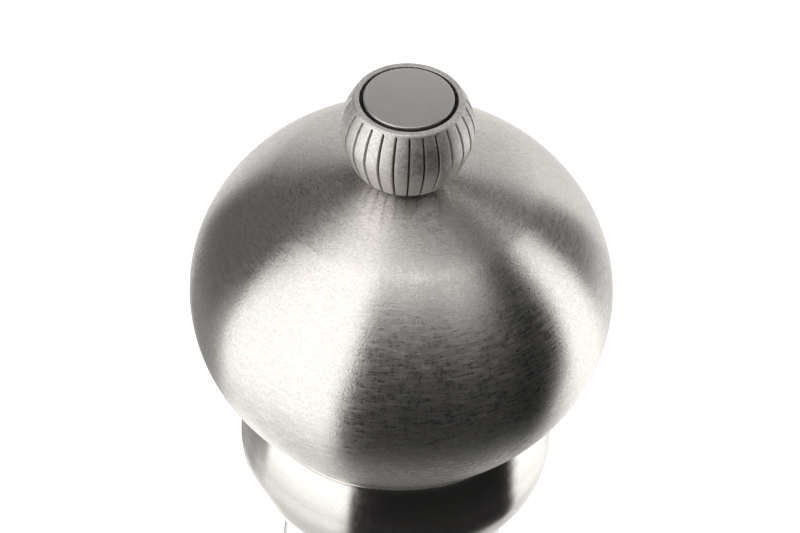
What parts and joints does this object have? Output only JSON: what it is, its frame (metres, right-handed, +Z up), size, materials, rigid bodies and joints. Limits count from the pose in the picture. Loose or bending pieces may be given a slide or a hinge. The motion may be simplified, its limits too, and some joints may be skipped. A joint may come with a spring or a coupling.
{
  "type": "mechanical nutmeg grater",
  "caption": "Turned steel nutmeg mill: a domed head turned by hand drives a spring-pressed claw plate over a fixed rasp disc in a push-fit foot; a fluted knob holds the head on.",
  "frame": {"origin": "middle of the foot's underside, on the surface that the mill stands on", "axes": "+Z up along the mill's axis, towards the knob; the picture looks along +Y and down"},
  "size_m": [0.056, 0.056, 0.1306],
  "materials": {
    "head_steel": "lathe-brushed stainless steel",
    "body_steel": "lathe-brushed stainless steel",
    "knob_steel": "bead-blasted satin stainless steel",
    "cap_steel": "fine matte stainless steel",
    "machined_steel": "machined steel",
    "blade_steel": "bright stamped stainless steel",
    "spring_steel": "drawn spring steel",
    "black_rubber": "matte black",
    "dark_plastic": "moulded, matte",
    "pale_nylon": "natural nylon",
    "bush_brass": "machined brass"
  },
  "bodies": {
    "foot": {"foot_ring": "body_steel", "grating_disc": "blade_steel", "disc_clamp_ring": "machined_steel", "foot_seal": "black_rubber", "clamp_screw_1": "machined_steel", "clamp_screw_2": "machined_steel", "clamp_screw_3": "machined_steel"},
    "body": {"body_shell": "body_steel", "lower_collar": "machined_steel", "nut_sleeve": "machined_steel", "bearing_bridge": "dark_plastic", "shaft_bush": "bush_brass", "glide_ring": "pale_nylon", "bridge_screw_1": "machined_steel", "bridge_screw_2": "machined_steel", "bridge_screw_3": "machined_steel"},
    "head": {"head_shell": "head_steel", "head_plate": "dark_plastic", "drive_tube": "machined_steel", "tube_clip": "spring_steel", "thrust_washer": "pale_nylon", "spring_seat": "machined_steel", "pusher_spring": "spring_steel"},
    "pusher": {"pusher_disc": "dark_plastic", "pusher_stem": "machined_steel", "cross_pin": "spring_steel", "claw_plate": "blade_steel", "claw_screw": "machined_steel"},
    "knob_washer": {"knob_washer": "pale_nylon"},
    "knob": {"knob_body": "knob_steel", "cap_gasket": "black_rubber", "cap_disc": "cap_steel"}
  },
  "joints": [
    {"name": "foot_release", "type": "slide", "parent": "foot", "child": "body", "axis": [0, 0, 1], "range_m": [0, 0.045]},
    {"name": "head_turn", "type": "hinge", "parent": "body", "child": "head", "pos_m": [0, 0, 0.0984], "axis": [0, 0, 1], "continuous": true},
    {"name": "pusher_slide", "type": "slide", "parent": "head", "child": "pusher", "axis": [0, 0, 1], "range_m": [0, 0.022], "stiffness_N_per_m": 280, "springref_m": -0.02, "deforming": ["pusher_spring"]},
    {"name": "knob_turn", "type": "hinge", "parent": "head", "child": "knob_washer", "pos_m": [0, 0, 0.1198], "axis": [0, 0, 1], "range_deg": [0, 2700]},
    {"name": "knob_rise", "type": "slide", "parent": "knob_washer", "child": "knob", "axis": [0, 0, 1], "range_m": [0, 0.006]}
  ],
  "couplings": [
    {"joint": "knob_turn", "follows": "knob_rise", "rad_per_m": 7854}
  ]
}
